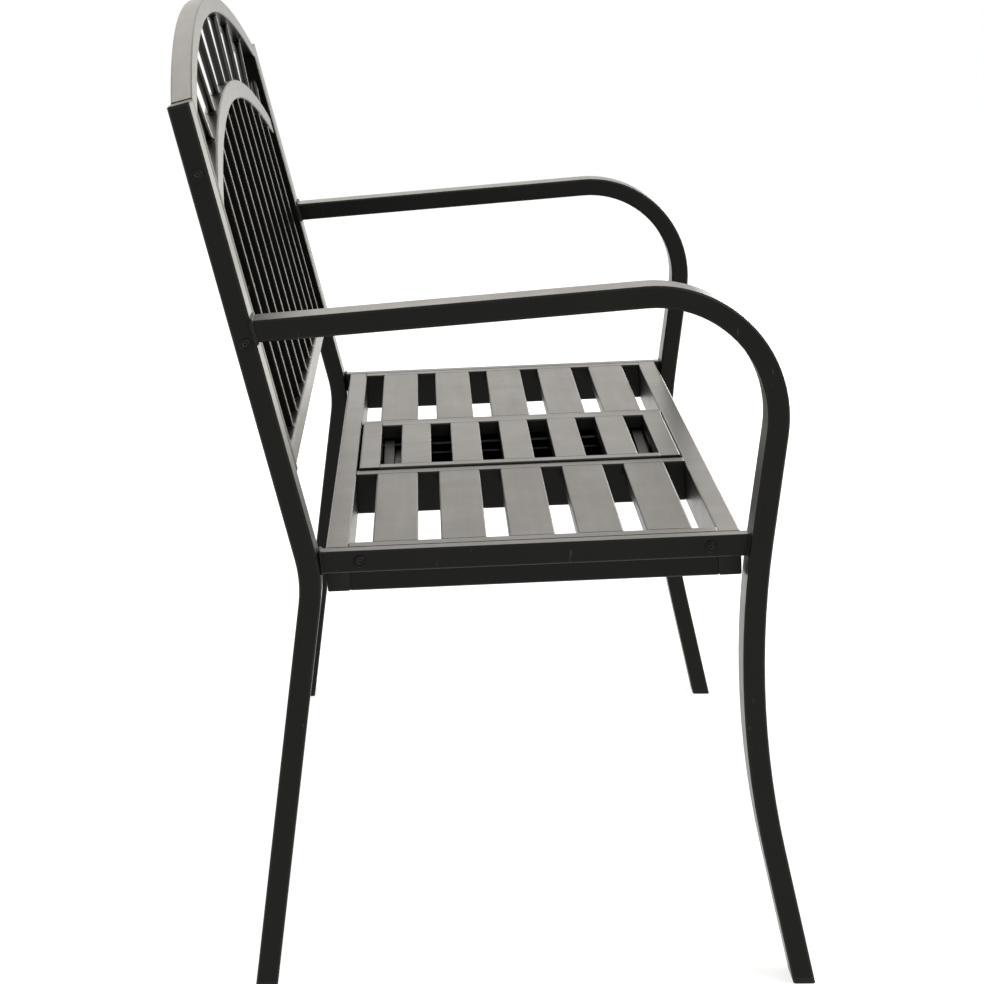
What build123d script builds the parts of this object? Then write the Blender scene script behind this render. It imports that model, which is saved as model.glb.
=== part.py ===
from build123d import *
import os
from math import asin, atan, cos, degrees, radians, sin, sqrt, tan

# Garden bench with a lift-up table in the middle of its seat, in millimetres.
# X runs along the bench, -Y is the front and Z is up. The origin is on the floor below the middle.

# Shared clearances and the overrun of every cut
FIT_GAP = 0.3           # between pieces that only lie beside each other
RUN_GAP = 0.05          # radial, round pins, rods and bolts
OVERRUN = 20            # how far a cutting body runs past what it cuts

# Side frames: bent tube, flat side outward
FRAME_WIDTH = 1210      # over the outer faces of both side frames
TUBE_WIDE = 50          # along X
TUBE_DEEP = 22          # in the plane of the side frame
TUBE_CORNER = 1.8       # leg of the small bevel on each long edge
TUBE_WALL = 1.5
KNEE_Y = 176.9          # where the rear leg's and the post's centre lines meet
KNEE_Z = 424.1
KNEE_RADIUS = 130
REAR_LEG_LEAN = 6.86    # degrees, foot to the rear
BACK_LEAN = 14.75       # degrees, top to the rear
POST_LENGTH = 487       # knee to the top of the cap
SHIN_Y = -251.2         # where the two runs of the front leg meet
SHIN_Z = 300.9
SHIN_RADIUS = 928
FRONT_LEG_LEAN = 13.2   # degrees, foot to the front
ARM_CORNER_Y = -302.6   # where the front leg and the arm meet
ARM_CORNER_Z = 719.6
ARM_RADIUS = 122
ARM_DROP = 4.85         # degrees, falling to the rear
CAP_THICK = 2
CAP_STEM = 14
CAP_EDGE = 0.8
SOLE_THICK = 6
SOLE_EDGE = 1
PLUG_STEM = 26
STEM_GAP = 0.2          # between a plug's stem and the bore of its tube

# Seat: a welded panel that rises a little to the front
SEAT_HEIGHT = 457.2     # top of the seat above the origin
SEAT_TILT = 2.205       # degrees
SEAT_MID_Y = -44.3
WELL_DEPTH = 371        # clear between the front and the rear rail
RAIL_WIDE = 23          # front and rear rails, along Y
RAIL_DEEP = 45
RAIL_CORNER = 1.3
RAIL_WALL = 1.5
END_RAIL_WIDE = 22
CROSS_RAIL_WIDE = 24
WELL_WIDTH = 310        # clear between the two cross rails
SEAT_SIDE_GAP = 0.4     # between the panel's ends and the side rails
SLAT_COUNT = 5
SLAT_WIDE = 46
SLAT_HIGH = 15
SLAT_CORNER = 1.2
SLAT_WALL = 1.2
SIDE_RAIL_WIDE = 20
SIDE_RAIL_HIGH = 22
PLUG_FLANGE = 1.5       # thickness of the plugs in the rails' ends
RAIL_PLUG_STEM = 12

# Back: a welded panel between the posts
BACK_SIDE_GAP = 0.4     # between the panel and the posts
UPRIGHT_WIDE = 20
UPRIGHT_DEEP = 22
UPRIGHT_WALL = 1.5
OUTER_ARCH_CROWN = 83.9     # crown of the outer arch above its ends
ARCH_ABOVE_POST = 1         # ends of the outer arch above the post's cap
OUTER_ARCH_HIGH = 20
ARCH_SPACE = 81.6           # clear between the crowns
INNER_ARCH_CROWN = 80.4
INNER_ARCH_HIGH = 22
INNER_DEEP = 18         # inner arch and bottom rail, front to rear
BOTTOM_RAIL_LOW = 102.6
BOTTOM_RAIL_HIGH = 20
BACK_CORNER = 1.2
BAR_COUNT = 11
BAR_WIDE = 16
BAR_DEEP = 12
BAR_CORNER = 1
BAR_WALL = 1.2
RAY_COUNT = 9
RAY_PITCH_SHARE = 0.114     # between the rays' feet, of the panel's clear width
RAY_FOCUS = 20          # height up the back of the point that the rays spread from
RAY_RADIUS = 4.5        # round bar

# Bolts through the posts and through the side rails
BOLT_RADIUS = 3
HEAD_RADIUS = 6
HEAD_HIGH = 2.6
HEAD_EDGE = 0.9
SOCKET_RADIUS = 2.2
SOCKET_DEEP = 1.5
BOLT_TIP = 2            # past the nut
NUT_RADIUS = 5.4
NUT_HIGH = 5
POST_BOLT_DOWN = 70     # upper bolt below the post's top
POST_BOLT_SPACE = 171   # between the upper and the lower bolt
SEAT_BOLT_REAR_IN = 11.2    # in from the rear wall of the well
SEAT_BOLT_FRONT_IN = 8.8

# Table: a slatted top that fills the well
TABLE_REAR_GAP = 3      # to the well's walls
TABLE_FRONT_GAP = 2
TABLE_END_GAP = 5
TABLE_PROUD = 2         # above the seat
TABLE_HIGH = 17
TABLE_RAIL_WIDE = 23
TABLE_END_WIDE = 20
TABLE_CORNER = 1
TABLE_WALL = 1.2
TABLE_SLAT_COUNT = 5
TABLE_SLAT_WIDE = 35

# Scissor lift below the table
PIVOT_INSET = 25        # from the table's ends to the hinges and to the folded rods
ARM_HIGH = 14
ARM_THICK = 12
LOWER_PIVOT_DROP = 34   # below the seat's top
UPPER_PIVOT_DROP = 22.7
RAISED_ANGLE = 48       # degrees, where the rods reach the ends of their slots
GUIDE_ARM_GAP = 2.5     # between a table guide and the outer arm beside it
ARM_SIDE_GAP = 1
PIN_RADIUS = 4
PIN_HEAD_RADIUS = 6
PIN_HEAD_HIGH = 2.4
ROD_RADIUS = 3
ROD_HEAD_RADIUS = 5
ROD_HEAD_HIGH = 2
SLOT_GAP = 0.5          # between a rod and its slot, each way
GUIDE_THICK = 3
TABLE_GUIDE_RIM = 3     # below the slot
BASE_GUIDE_RIM = 3      # above the slot
BASE_GUIDE_SPACE = 3    # between the table's and the base's guides
GUIDE_END = 15          # past the pivot and the ends of the slot
GUIDE_FOOT = 15
GUIDE_ROUND = 2
BRACKET_REACH = 20
BRACKET_RIM = 7
BRACKET_ARM_GAP = 2

# Well bottom
TRAY_SHEET = 1.5
TRAY_FLANGE = 12
SCREW_RADIUS = 2
SCREW_HEAD_RADIUS = 4
SCREW_HEAD_HIGH = 1.8
SCREW_LENGTH = 11
SCREW_OUT_SHARE = 0.33  # from the table's middle, of the table's depth
SCREW_DROP = 39
REST_OUT_SHARE = 0.165
REST_WIDE = 30
REST_REACH = 14
REST_THICK = 3
REST_HIGH = 15

side_x = FRAME_WIDTH / 2 - TUBE_WIDE / 2
post_inner_x = FRAME_WIDTH / 2 - TUBE_WIDE
well_rear_y = SEAT_MID_Y + WELL_DEPTH / 2
well_front_y = SEAT_MID_Y - WELL_DEPTH / 2
sides = ((-1, "left"), (1, "right"))

os.makedirs("parts", exist_ok=True)


def save(piece, name):
    piece.label = name
    export_step(piece, f"parts/{name}.step")


def edgedRectangle(wide, high, corner):
    x, y = wide / 2, high / 2
    Polygon((x - corner, y), (corner - x, y), (-x, y - corner), (-x, corner - y),
            (corner - x, -y), (x - corner, -y), (x, corner - y), (x, y - corner))


def tubeSection(wide, high, corner, wall):
    edgedRectangle(wide, high, corner)
    Rectangle(wide - 2 * wall, high - 2 * wall, mode=Mode.SUBTRACT)


# Rear leg and post: one tube with a knee below the seat
rear_foot_y = KNEE_Y + KNEE_Z * tan(radians(REAR_LEG_LEAN))
post_up = Vector(0, sin(radians(BACK_LEAN)), cos(radians(BACK_LEAN)))
post_front = Vector(0, -cos(radians(BACK_LEAN)), sin(radians(BACK_LEAN)))
knee = Vector(0, KNEE_Y, KNEE_Z)
post_top = knee + post_up * (POST_LENGTH - CAP_THICK)

# Front leg and arm: one tube from the foot over the arm's corner to the post
front_foot_y = SHIN_Y - SHIN_Z * tan(radians(FRONT_LEG_LEAN))
arm_fall = tan(radians(ARM_DROP))
post_run = tan(radians(BACK_LEAN))
arm_rear_y = KNEE_Y + (ARM_CORNER_Z + ARM_CORNER_Y * arm_fall - KNEE_Z) * post_run
arm_rear_y = arm_rear_y / (1 + arm_fall * post_run)
arm_rear_z = ARM_CORNER_Z - (arm_rear_y - ARM_CORNER_Y) * arm_fall
post_front_face = Plane(origin=knee + post_front * (TUBE_DEEP / 2), z_dir=post_front)


def legPath(points, radii, x):
    with BuildLine(Plane.YZ.offset(x)) as path:
        FilletPolyline(*points, radius=radii)
    return path.line


def rearPath(x):
    low = (rear_foot_y + OVERRUN * tan(radians(REAR_LEG_LEAN)), -OVERRUN)
    return legPath((low, (KNEE_Y, KNEE_Z), (post_top.Y, post_top.Z)), [KNEE_RADIUS], x)


def frontPath(x):
    low = (front_foot_y - OVERRUN * tan(radians(FRONT_LEG_LEAN)), -OVERRUN)
    corners = ((SHIN_Y, SHIN_Z), (ARM_CORNER_Y, ARM_CORNER_Z))
    return legPath((low, *corners, (arm_rear_y, arm_rear_z)), [SHIN_RADIUS, ARM_RADIUS], x)


def sweptTube(path, hollow):
    start = Plane(origin=path @ 0, x_dir=(1, 0, 0), z_dir=path % 0)
    with BuildPart() as tube:
        with BuildSketch(start):
            edgedRectangle(TUBE_WIDE, TUBE_DEEP, TUBE_CORNER)
        sweep(path=path)
        if hollow:
            with BuildSketch(start):
                Rectangle(TUBE_WIDE - 2 * TUBE_WALL, TUBE_DEEP - 2 * TUBE_WALL)
            sweep(path=path, mode=Mode.SUBTRACT)
    return tube.part


# Bolt rows: a point on each bolt's axis, in the plane of the side frame
upper_bolt_rise = POST_LENGTH - POST_BOLT_DOWN
post_bolts = [knee + post_up * rise for rise in (upper_bolt_rise, upper_bolt_rise - POST_BOLT_SPACE)]
tilt = radians(SEAT_TILT)
seat_plane = Plane(origin=(0, 0, SEAT_HEIGHT), x_dir=(1, 0, 0), z_dir=(0, sin(tilt), cos(tilt)))
rail_drop = SIDE_RAIL_HIGH / 2
seat_bolts = [seat_plane.from_local_coords(Vector(0, y, -rail_drop))
              for y in (well_rear_y - SEAT_BOLT_REAR_IN, well_front_y + SEAT_BOLT_FRONT_IN)]


def boltPlane(point, x, side):
    return Plane(origin=(x, point.Y, point.Z), x_dir=(0, 1, 0), z_dir=(side, 0, 0))


def boltHoles(points, x, side, length):
    for point in points:
        with BuildSketch(boltPlane(point, x, side)) as hole:
            Circle(BOLT_RADIUS + RUN_GAP)
        extrude(hole.sketch, amount=-length, mode=Mode.SUBTRACT)


for side, side_name in sides:
    x = side * side_x
    rear_envelope = sweptTube(rearPath(x), False)
    front_envelope = sweptTube(frontPath(x), False)

    with BuildPart() as rear_leg:
        add(sweptTube(rearPath(x), True))
        split(bisect_by=Plane.XY.offset(SOLE_THICK), keep=Keep.TOP)
        boltHoles(post_bolts, side * (FRAME_WIDTH / 2 + OVERRUN), side, TUBE_WIDE + 2 * OVERRUN)
    save(rear_leg.part, f"rear_leg_post_{side_name}")

    with BuildPart() as front_leg:
        add(sweptTube(frontPath(x), True))
        split(bisect_by=Plane.XY.offset(SOLE_THICK), keep=Keep.TOP)
        split(bisect_by=post_front_face, keep=Keep.TOP)
    save(front_leg.part, f"arm_front_leg_{side_name}")

    # Side rail: runs from leg to leg below the seat's edge, its ends coped to the tubes
    rail_rear = Plane(origin=seat_plane.from_local_coords(Vector(x, KNEE_Y, -rail_drop)),
                      x_dir=(1, 0, 0), z_dir=-seat_plane.y_dir)
    with BuildPart() as side_rail:
        with BuildSketch(rail_rear):
            tubeSection(SIDE_RAIL_WIDE, SIDE_RAIL_HIGH, RAIL_CORNER, RAIL_WALL)
        extrude(amount=KNEE_Y - SHIN_Y + TUBE_DEEP)
        add(rear_envelope, mode=Mode.SUBTRACT)
        add(front_envelope, mode=Mode.SUBTRACT)
        boltHoles(seat_bolts, side * (side_x + SIDE_RAIL_WIDE / 2 + OVERRUN), side,
                  SIDE_RAIL_WIDE + 2 * OVERRUN)
    save(side_rail.part, f"side_rail_{side_name}")

# Post caps: a thin plate with a bevelled rim on each post, held by a stem in the bore
post_axis = Axis((0, 0, 0), post_up)
stem_wall = TUBE_WALL + STEM_GAP
cap_planes = [Plane(origin=post_top + Vector(side * side_x, 0, 0), x_dir=(1, 0, 0), z_dir=post_up)
              for side, side_name in sides]
with BuildPart() as post_caps:
    with BuildSketch(*cap_planes):
        edgedRectangle(TUBE_WIDE, TUBE_DEEP, TUBE_CORNER)
    extrude(amount=CAP_THICK)
    cap_tops = post_caps.faces().filter_by(post_axis).sort_by(post_axis)[-len(cap_planes):]
    chamfer(cap_tops.edges(), CAP_EDGE)
    with BuildSketch(*cap_planes):
        Rectangle(TUBE_WIDE - 2 * stem_wall, TUBE_DEEP - 2 * stem_wall)
    extrude(amount=-CAP_STEM)
save(post_caps.part, "post_caps")

# Foot plugs: a sole that carries on the slanted leg down to the floor, and a stem in the bore
feet = ((rear_foot_y, radians(-REAR_LEG_LEAN)), (front_foot_y, radians(FRONT_LEG_LEAN)))
with BuildPart() as foot_plugs:
    for foot_y, lean in feet:
        with BuildSketch(*[Plane(origin=(side * side_x, foot_y, 0)) for side, side_name in sides]):
            edgedRectangle(TUBE_WIDE, TUBE_DEEP / cos(lean), TUBE_CORNER)
        extrude(amount=SOLE_THICK / cos(lean), dir=(0, sin(lean), cos(lean)))
    soles = foot_plugs.faces().sort_by(Axis.Z)[:len(feet) * len(sides)]
    chamfer(soles.edges(), SOLE_EDGE)
    for foot_y, lean in feet:
        stem_y = foot_y + SOLE_THICK * tan(lean)
        stem_planes = [Plane(origin=(side * side_x, stem_y, SOLE_THICK)) for side, side_name in sides]
        with BuildSketch(*stem_planes):
            Rectangle(TUBE_WIDE - 2 * stem_wall, (TUBE_DEEP - 2 * stem_wall) / cos(lean))
        extrude(amount=PLUG_STEM, dir=(0, sin(lean), cos(lean)))
save(foot_plugs.part, "foot_plugs")

# Back panel, drawn on the plane through the knees with +Y up the back and +Z to the front
back_plane = Plane(origin=knee, x_dir=(1, 0, 0), z_dir=post_front)
back_half = post_inner_x - BACK_SIDE_GAP
window_half = back_half - UPRIGHT_WIDE
bottom_rail_top = BOTTOM_RAIL_LOW + BOTTOM_RAIL_HIGH


def arcRadius(half, crown):
    return (half ** 2 + crown ** 2) / (2 * crown)


outer_rise = POST_LENGTH + ARCH_ABOVE_POST + OUTER_ARCH_CROWN
outer_radius = arcRadius(back_half, OUTER_ARCH_CROWN)
outer_centre = outer_rise - outer_radius
outer_soffit = outer_radius - OUTER_ARCH_HIGH
inner_rise = outer_rise - OUTER_ARCH_HIGH - ARCH_SPACE
inner_radius = arcRadius(window_half, INNER_ARCH_CROWN)
inner_centre = inner_rise - inner_radius
inner_soffit = inner_radius - INNER_ARCH_HIGH


def arcBand(rise, radius, high, half):
    with Locations((0, rise - radius)):
        Circle(radius)
        Circle(radius - high, mode=Mode.SUBTRACT)
    with Locations((0, rise)):
        Rectangle(2 * half, radius, mode=Mode.INTERSECT)


def archTube(rise, radius, high, deep, half):
    with BuildPart() as arch:
        with BuildSketch(back_plane):
            arcBand(rise, radius, high, half)
        extrude(amount=deep / 2, both=True)
        chamfer(arch.edges().filter_by(GeomType.CIRCLE), BACK_CORNER)
        with BuildSketch(back_plane):
            arcBand(rise - UPRIGHT_WALL, radius - UPRIGHT_WALL, high - 2 * UPRIGHT_WALL, half + OVERRUN)
        extrude(amount=deep / 2 - UPRIGHT_WALL, both=True, mode=Mode.SUBTRACT)
    return arch.part


save(archTube(outer_rise, outer_radius, OUTER_ARCH_HIGH, UPRIGHT_DEEP, back_half), "back_outer_arch")
save(archTube(inner_rise, inner_radius, INNER_ARCH_HIGH, INNER_DEEP, window_half), "back_inner_arch")

# Uprights: beside the posts, coped to the underside of the outer arch
for side, side_name in sides:
    upright_x = side * (back_half - UPRIGHT_WIDE / 2)
    upright_foot = Plane(origin=back_plane.from_local_coords(Vector(upright_x, BOTTOM_RAIL_LOW, 0)),
                         x_dir=(1, 0, 0), z_dir=post_up)
    with BuildPart() as upright:
        with BuildSketch(upright_foot):
            tubeSection(UPRIGHT_WIDE, UPRIGHT_DEEP, BACK_CORNER, UPRIGHT_WALL)
        extrude(amount=POST_LENGTH)
        with BuildSketch(back_plane):
            with Locations((0, outer_centre)):
                Circle(outer_soffit)
        extrude(amount=UPRIGHT_DEEP, both=True, mode=Mode.INTERSECT)
        boltHoles(post_bolts, side * (post_inner_x + OVERRUN), side,
                  OVERRUN + BACK_SIDE_GAP + 2 * UPRIGHT_WALL)
    save(upright.part, f"back_upright_{side_name}")

# Bottom rail of the back
with BuildPart() as bottom_rail:
    with BuildSketch(Plane(origin=back_plane.from_local_coords(Vector(-window_half, bottom_rail_top, 0)),
                           x_dir=-post_front, z_dir=(1, 0, 0))):
        with Locations((0, -BOTTOM_RAIL_HIGH / 2)):
            tubeSection(INNER_DEEP, BOTTOM_RAIL_HIGH, BACK_CORNER, UPRIGHT_WALL)
    extrude(amount=2 * window_half)
save(bottom_rail.part, "back_bottom_rail")

# Upright bars between the bottom rail and the inner arch
bar_pitch = 2 * window_half / BAR_COUNT
bar_length = inner_rise - bottom_rail_top
with BuildPart() as bars:
    with BuildSketch(back_plane.offset(-BAR_DEEP / 2)):
        with Locations((0, bottom_rail_top + bar_length / 2)):
            with GridLocations(bar_pitch, bar_length, BAR_COUNT, 1):
                Rectangle(BAR_WIDE, bar_length)
    extrude(amount=BAR_DEEP)
    chamfer(bars.edges().filter_by(Axis((0, 0, 0), post_up)), BAR_CORNER)
    with BuildSketch(back_plane.offset(BAR_WALL - BAR_DEEP / 2)):
        with Locations((0, bottom_rail_top + bar_length / 2)):
            with GridLocations(bar_pitch, bar_length, BAR_COUNT, 1):
                Rectangle(BAR_WIDE - 2 * BAR_WALL, bar_length)
    extrude(amount=BAR_DEEP - 2 * BAR_WALL, mode=Mode.SUBTRACT)
    with BuildSketch(back_plane):
        with Locations((0, inner_centre)):
            Circle(inner_soffit)
    extrude(amount=BAR_DEEP, both=True, mode=Mode.INTERSECT)
save(bars.part, "back_bars")

# Rays: round bars that fan out between the arches, their ends coped to both
ray_pitch = 2 * window_half * RAY_PITCH_SHARE
ray_focus = back_plane.from_local_coords(Vector(0, RAY_FOCUS, 0))
with BuildPart() as rays:
    for number in range(RAY_COUNT):
        foot_x = (number - (RAY_COUNT - 1) / 2) * ray_pitch
        foot_rise = inner_centre + sqrt(inner_radius ** 2 - foot_x ** 2) - RAY_FOCUS
        lean = atan(foot_x / foot_rise)
        ray_way = Vector(sin(lean), 0, 0) + post_up * cos(lean)
        start = ray_focus + ray_way * (foot_rise / cos(lean) - OVERRUN)
        with BuildSketch(Plane(origin=start, x_dir=post_front.cross(ray_way), z_dir=ray_way)):
            Circle(RAY_RADIUS)
        extrude(amount=POST_LENGTH)
    with BuildSketch(back_plane):
        with Locations((0, outer_centre)):
            Circle(outer_soffit)
        with Locations((0, inner_centre)):
            Circle(inner_radius, mode=Mode.SUBTRACT)
        with Locations((0, inner_rise)):
            Rectangle(2 * window_half, inner_radius, mode=Mode.INTERSECT)
    extrude(amount=2 * RAY_RADIUS, both=True, mode=Mode.INTERSECT)
save(rays.part, "back_rays")

# Bolts with a low domed head and a socket, and the nuts inside the tubes behind them
post_bolt_length = TUBE_WIDE + BACK_SIDE_GAP + UPRIGHT_WALL + NUT_HIGH + BOLT_TIP
post_nut_x = back_half - UPRIGHT_WALL
seat_half = side_x - SIDE_RAIL_WIDE / 2 - SEAT_SIDE_GAP
seat_bolt_x = side_x + SIDE_RAIL_WIDE / 2
seat_nut_x = seat_half - RAIL_WALL
seat_bolt_length = seat_bolt_x - seat_nut_x + NUT_HIGH + BOLT_TIP


def boltSet(points, x, length):
    with BuildPart() as bolts:
        for side, side_name in sides:
            for point in points:
                with BuildSketch(boltPlane(point, side * x, side)):
                    Circle(HEAD_RADIUS)
                extrude(amount=HEAD_HIGH)
        for side, side_name in sides:
            heads = bolts.faces().filter_by(Axis.X).sort_by(Axis.X, reverse=side > 0)[:len(points)]
            chamfer(heads.edges(), HEAD_EDGE)
        for side, side_name in sides:
            for point in points:
                with BuildSketch(boltPlane(point, side * (x + HEAD_HIGH), side)):
                    RegularPolygon(SOCKET_RADIUS, 6)
                extrude(amount=-SOCKET_DEEP, mode=Mode.SUBTRACT)
                with BuildSketch(boltPlane(point, side * x, side)):
                    Circle(BOLT_RADIUS)
                extrude(amount=-length)
    return bolts.part


def nutSet(points, x):
    with BuildPart() as nuts:
        for side, side_name in sides:
            for point in points:
                with BuildSketch(boltPlane(point, side * x, side)):
                    RegularPolygon(NUT_RADIUS, 6)
                    Circle(BOLT_RADIUS + RUN_GAP, mode=Mode.SUBTRACT)
                extrude(amount=-NUT_HIGH)
    return nuts.part


save(boltSet(post_bolts, FRAME_WIDTH / 2, post_bolt_length), "back_bolts")
save(nutSet(post_bolts, post_nut_x), "back_nuts")
save(boltSet(seat_bolts, seat_bolt_x, seat_bolt_length), "seat_bolts")
save(nutSet(seat_bolts, seat_nut_x), "seat_nuts")


# Seat panel. Sections across the bench lie on planes that face +X or the front.
def lengthwise(x, y):
    return Plane(origin=seat_plane.from_local_coords(Vector(x, y, 0)),
                 x_dir=seat_plane.y_dir, z_dir=(1, 0, 0))


def crosswise(x, y):
    return Plane(origin=seat_plane.from_local_coords(Vector(x, y, 0)),
                 x_dir=(1, 0, 0), z_dir=-seat_plane.y_dir)


def tubeAlong(plane, length, wide, high, corner, wall, top=0):
    with BuildPart() as tube:
        with BuildSketch(plane):
            with Locations((0, top - high / 2)):
                tubeSection(wide, high, corner, wall)
        extrude(amount=length)
    return tube.part


table_depth = WELL_DEPTH - TABLE_REAR_GAP - TABLE_FRONT_GAP
table_mid_y = SEAT_MID_Y + (TABLE_FRONT_GAP - TABLE_REAR_GAP) / 2
table_half = WELL_WIDTH / 2 - TABLE_END_GAP
rail_half = seat_half - PLUG_FLANGE
rail_rows = (("rear", well_rear_y + RAIL_WIDE / 2), ("front", well_front_y - RAIL_WIDE / 2))
for row_name, rail_y in rail_rows:
    save(tubeAlong(lengthwise(-rail_half, rail_y), 2 * rail_half, RAIL_WIDE, RAIL_DEEP,
                   RAIL_CORNER, RAIL_WALL), f"seat_{row_name}_rail")

with BuildPart() as rail_plugs:
    for row_name, rail_y in rail_rows:
        for side, side_name in sides:
            plane = lengthwise(side * rail_half, rail_y)
            plug_wall = RAIL_WALL + STEM_GAP
            with BuildSketch(plane):
                with Locations((0, -RAIL_DEEP / 2)):
                    edgedRectangle(RAIL_WIDE, RAIL_DEEP, RAIL_CORNER)
            extrude(amount=side * PLUG_FLANGE)
            with BuildSketch(plane):
                with Locations((0, -RAIL_DEEP / 2)):
                    Rectangle(RAIL_WIDE - 2 * plug_wall, RAIL_DEEP - 2 * plug_wall)
            extrude(amount=-side * RAIL_PLUG_STEM)
save(rail_plugs.part, "rail_end_plugs")

screw_out = table_depth * SCREW_OUT_SHARE
screw_points = [seat_plane.from_local_coords(Vector(0, table_mid_y + way * screw_out, -SCREW_DROP))
                for way in (-1, 1)]
end_rail_inner = seat_half - END_RAIL_WIDE
cross_rail_outer = WELL_WIDTH / 2 + CROSS_RAIL_WIDE
slat_length = end_rail_inner - cross_rail_outer
slat_pitch = (WELL_DEPTH + SLAT_WIDE) / (SLAT_COUNT + 1)
slat_ys = [well_front_y - SLAT_WIDE / 2 + slat_pitch * (number + 1) for number in range(SLAT_COUNT)]
for side, side_name in sides:
    with BuildPart() as end_rail:
        add(tubeAlong(crosswise(side * (seat_half - END_RAIL_WIDE / 2), well_rear_y), WELL_DEPTH,
                      END_RAIL_WIDE, RAIL_DEEP, RAIL_CORNER, RAIL_WALL))
        boltHoles(seat_bolts, side * (seat_half + OVERRUN), side, OVERRUN + 2 * RAIL_WALL)
    save(end_rail.part, f"seat_end_rail_{side_name}")
    with BuildPart() as cross_rail:
        add(tubeAlong(crosswise(side * (cross_rail_outer - CROSS_RAIL_WIDE / 2), well_rear_y), WELL_DEPTH,
                      CROSS_RAIL_WIDE, RAIL_DEEP, RAIL_CORNER, RAIL_WALL))
        for point in screw_points:
            with BuildSketch(boltPlane(point, 0, side)):
                Circle(SCREW_RADIUS + RUN_GAP)
            extrude(amount=WELL_WIDTH / 2 + 2 * RAIL_WALL, mode=Mode.SUBTRACT)
    save(cross_rail.part, f"well_cross_rail_{side_name}")
    slat_start = -end_rail_inner if side < 0 else cross_rail_outer
    with BuildPart() as slats:
        for slat_y in slat_ys:
            add(tubeAlong(lengthwise(slat_start, slat_y), slat_length, SLAT_WIDE, SLAT_HIGH,
                          SLAT_CORNER, SLAT_WALL))
    save(slats.part, f"seat_slats_{side_name}")

# Well bottom: a pan of sheet, its flanges turned up inside the well's four walls
tray_plane = seat_plane.offset(-RAIL_DEEP)
with BuildPart() as tray:
    with BuildSketch(tray_plane):
        with Locations((0, SEAT_MID_Y)):
            Rectangle(WELL_WIDTH, WELL_DEPTH)
    extrude(amount=TRAY_FLANGE)
    with BuildSketch(tray_plane.offset(TRAY_SHEET)):
        with Locations((0, SEAT_MID_Y)):
            Rectangle(WELL_WIDTH - 2 * TRAY_SHEET, WELL_DEPTH - 2 * TRAY_SHEET)
    extrude(amount=TRAY_FLANGE, mode=Mode.SUBTRACT)
    for point in screw_points:
        with BuildSketch(boltPlane(point, 0, 1)):
            Circle(SCREW_RADIUS + RUN_GAP)
        extrude(amount=WELL_WIDTH, both=True, mode=Mode.SUBTRACT)
save(tray.part, "well_tray")

screw_x = WELL_WIDTH / 2 - TRAY_SHEET
with BuildPart() as tray_screws:
    for side, side_name in sides:
        for point in screw_points:
            with BuildSketch(boltPlane(point, side * screw_x, side)):
                Circle(SCREW_HEAD_RADIUS)
            extrude(amount=-SCREW_HEAD_HIGH)
            with BuildSketch(boltPlane(point, side * screw_x, side)):
                Circle(SCREW_RADIUS)
            extrude(amount=SCREW_LENGTH)
save(tray_screws.part, "tray_screws")

# Rests: angle pieces on the cross rails that the closed table lies on
table_under = TABLE_HIGH - TABLE_PROUD
rest_top = table_under + FIT_GAP
rest_out = table_depth * REST_OUT_SHARE
with BuildPart() as rests:
    for side, side_name in sides:
        for way in (-1, 1):
            with BuildSketch(crosswise(0, table_mid_y + way * rest_out + REST_WIDE / 2)):
                with Locations((side * (WELL_WIDTH / 2 - REST_REACH / 2), -rest_top - REST_THICK / 2)):
                    Rectangle(REST_REACH, REST_THICK)
                with Locations((side * (WELL_WIDTH / 2 - REST_THICK / 2), -rest_top - REST_HIGH / 2)):
                    Rectangle(REST_THICK, REST_HIGH)
            extrude(amount=REST_WIDE)
save(rests.part, "table_rests")

# Scissor lift. Its pieces stand on planes across the bench, their places given from the table's
# middle outward, to the rear and to the front alike.
ways = ((1, "rear"), (-1, "front"))
fixed_pivot_x = PIVOT_INSET - table_half
arm_span = -2 * fixed_pivot_x
rest_angle = asin((LOWER_PIVOT_DROP - UPPER_PIVOT_DROP) / arm_span)
slide_rest_x = fixed_pivot_x + arm_span * cos(rest_angle)
slide_raised_x = fixed_pivot_x + arm_span * cos(radians(RAISED_ANGLE))
cross_x = (fixed_pivot_x + slide_rest_x) / 2
cross_drop = (LOWER_PIVOT_DROP + UPPER_PIVOT_DROP) / 2
table_guide_out = table_depth / 2 - TABLE_RAIL_WIDE
outer_arm_end = table_guide_out - GUIDE_ARM_GAP
outer_arm_out = outer_arm_end - ARM_THICK
inner_arm_end = outer_arm_out - ARM_SIDE_GAP
inner_arm_out = inner_arm_end - ARM_THICK
table_guide_end = table_guide_out + GUIDE_THICK
base_guide_out = table_guide_end + BASE_GUIDE_SPACE
base_guide_end = base_guide_out + GUIDE_THICK
slot_high = 2 * (ROD_RADIUS + SLOT_GAP)
slot_x = (slide_rest_x + slide_raised_x) / 2
slot_run = slide_rest_x - slide_raised_x


def outward(way, out):
    return crosswise(0, table_mid_y + way * out)


def roundBar(way, x, drop, radius, start, end):
    with BuildSketch(outward(way, start)) as disc:
        with Locations((x, -drop)):
            Circle(radius)
    extrude(disc.sketch, amount=way * (start - end))


def guideSlot(drop):
    with Locations((slot_x, -drop)):
        SlotCenterToCenter(slot_run, slot_high, mode=Mode.SUBTRACT)


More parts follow.
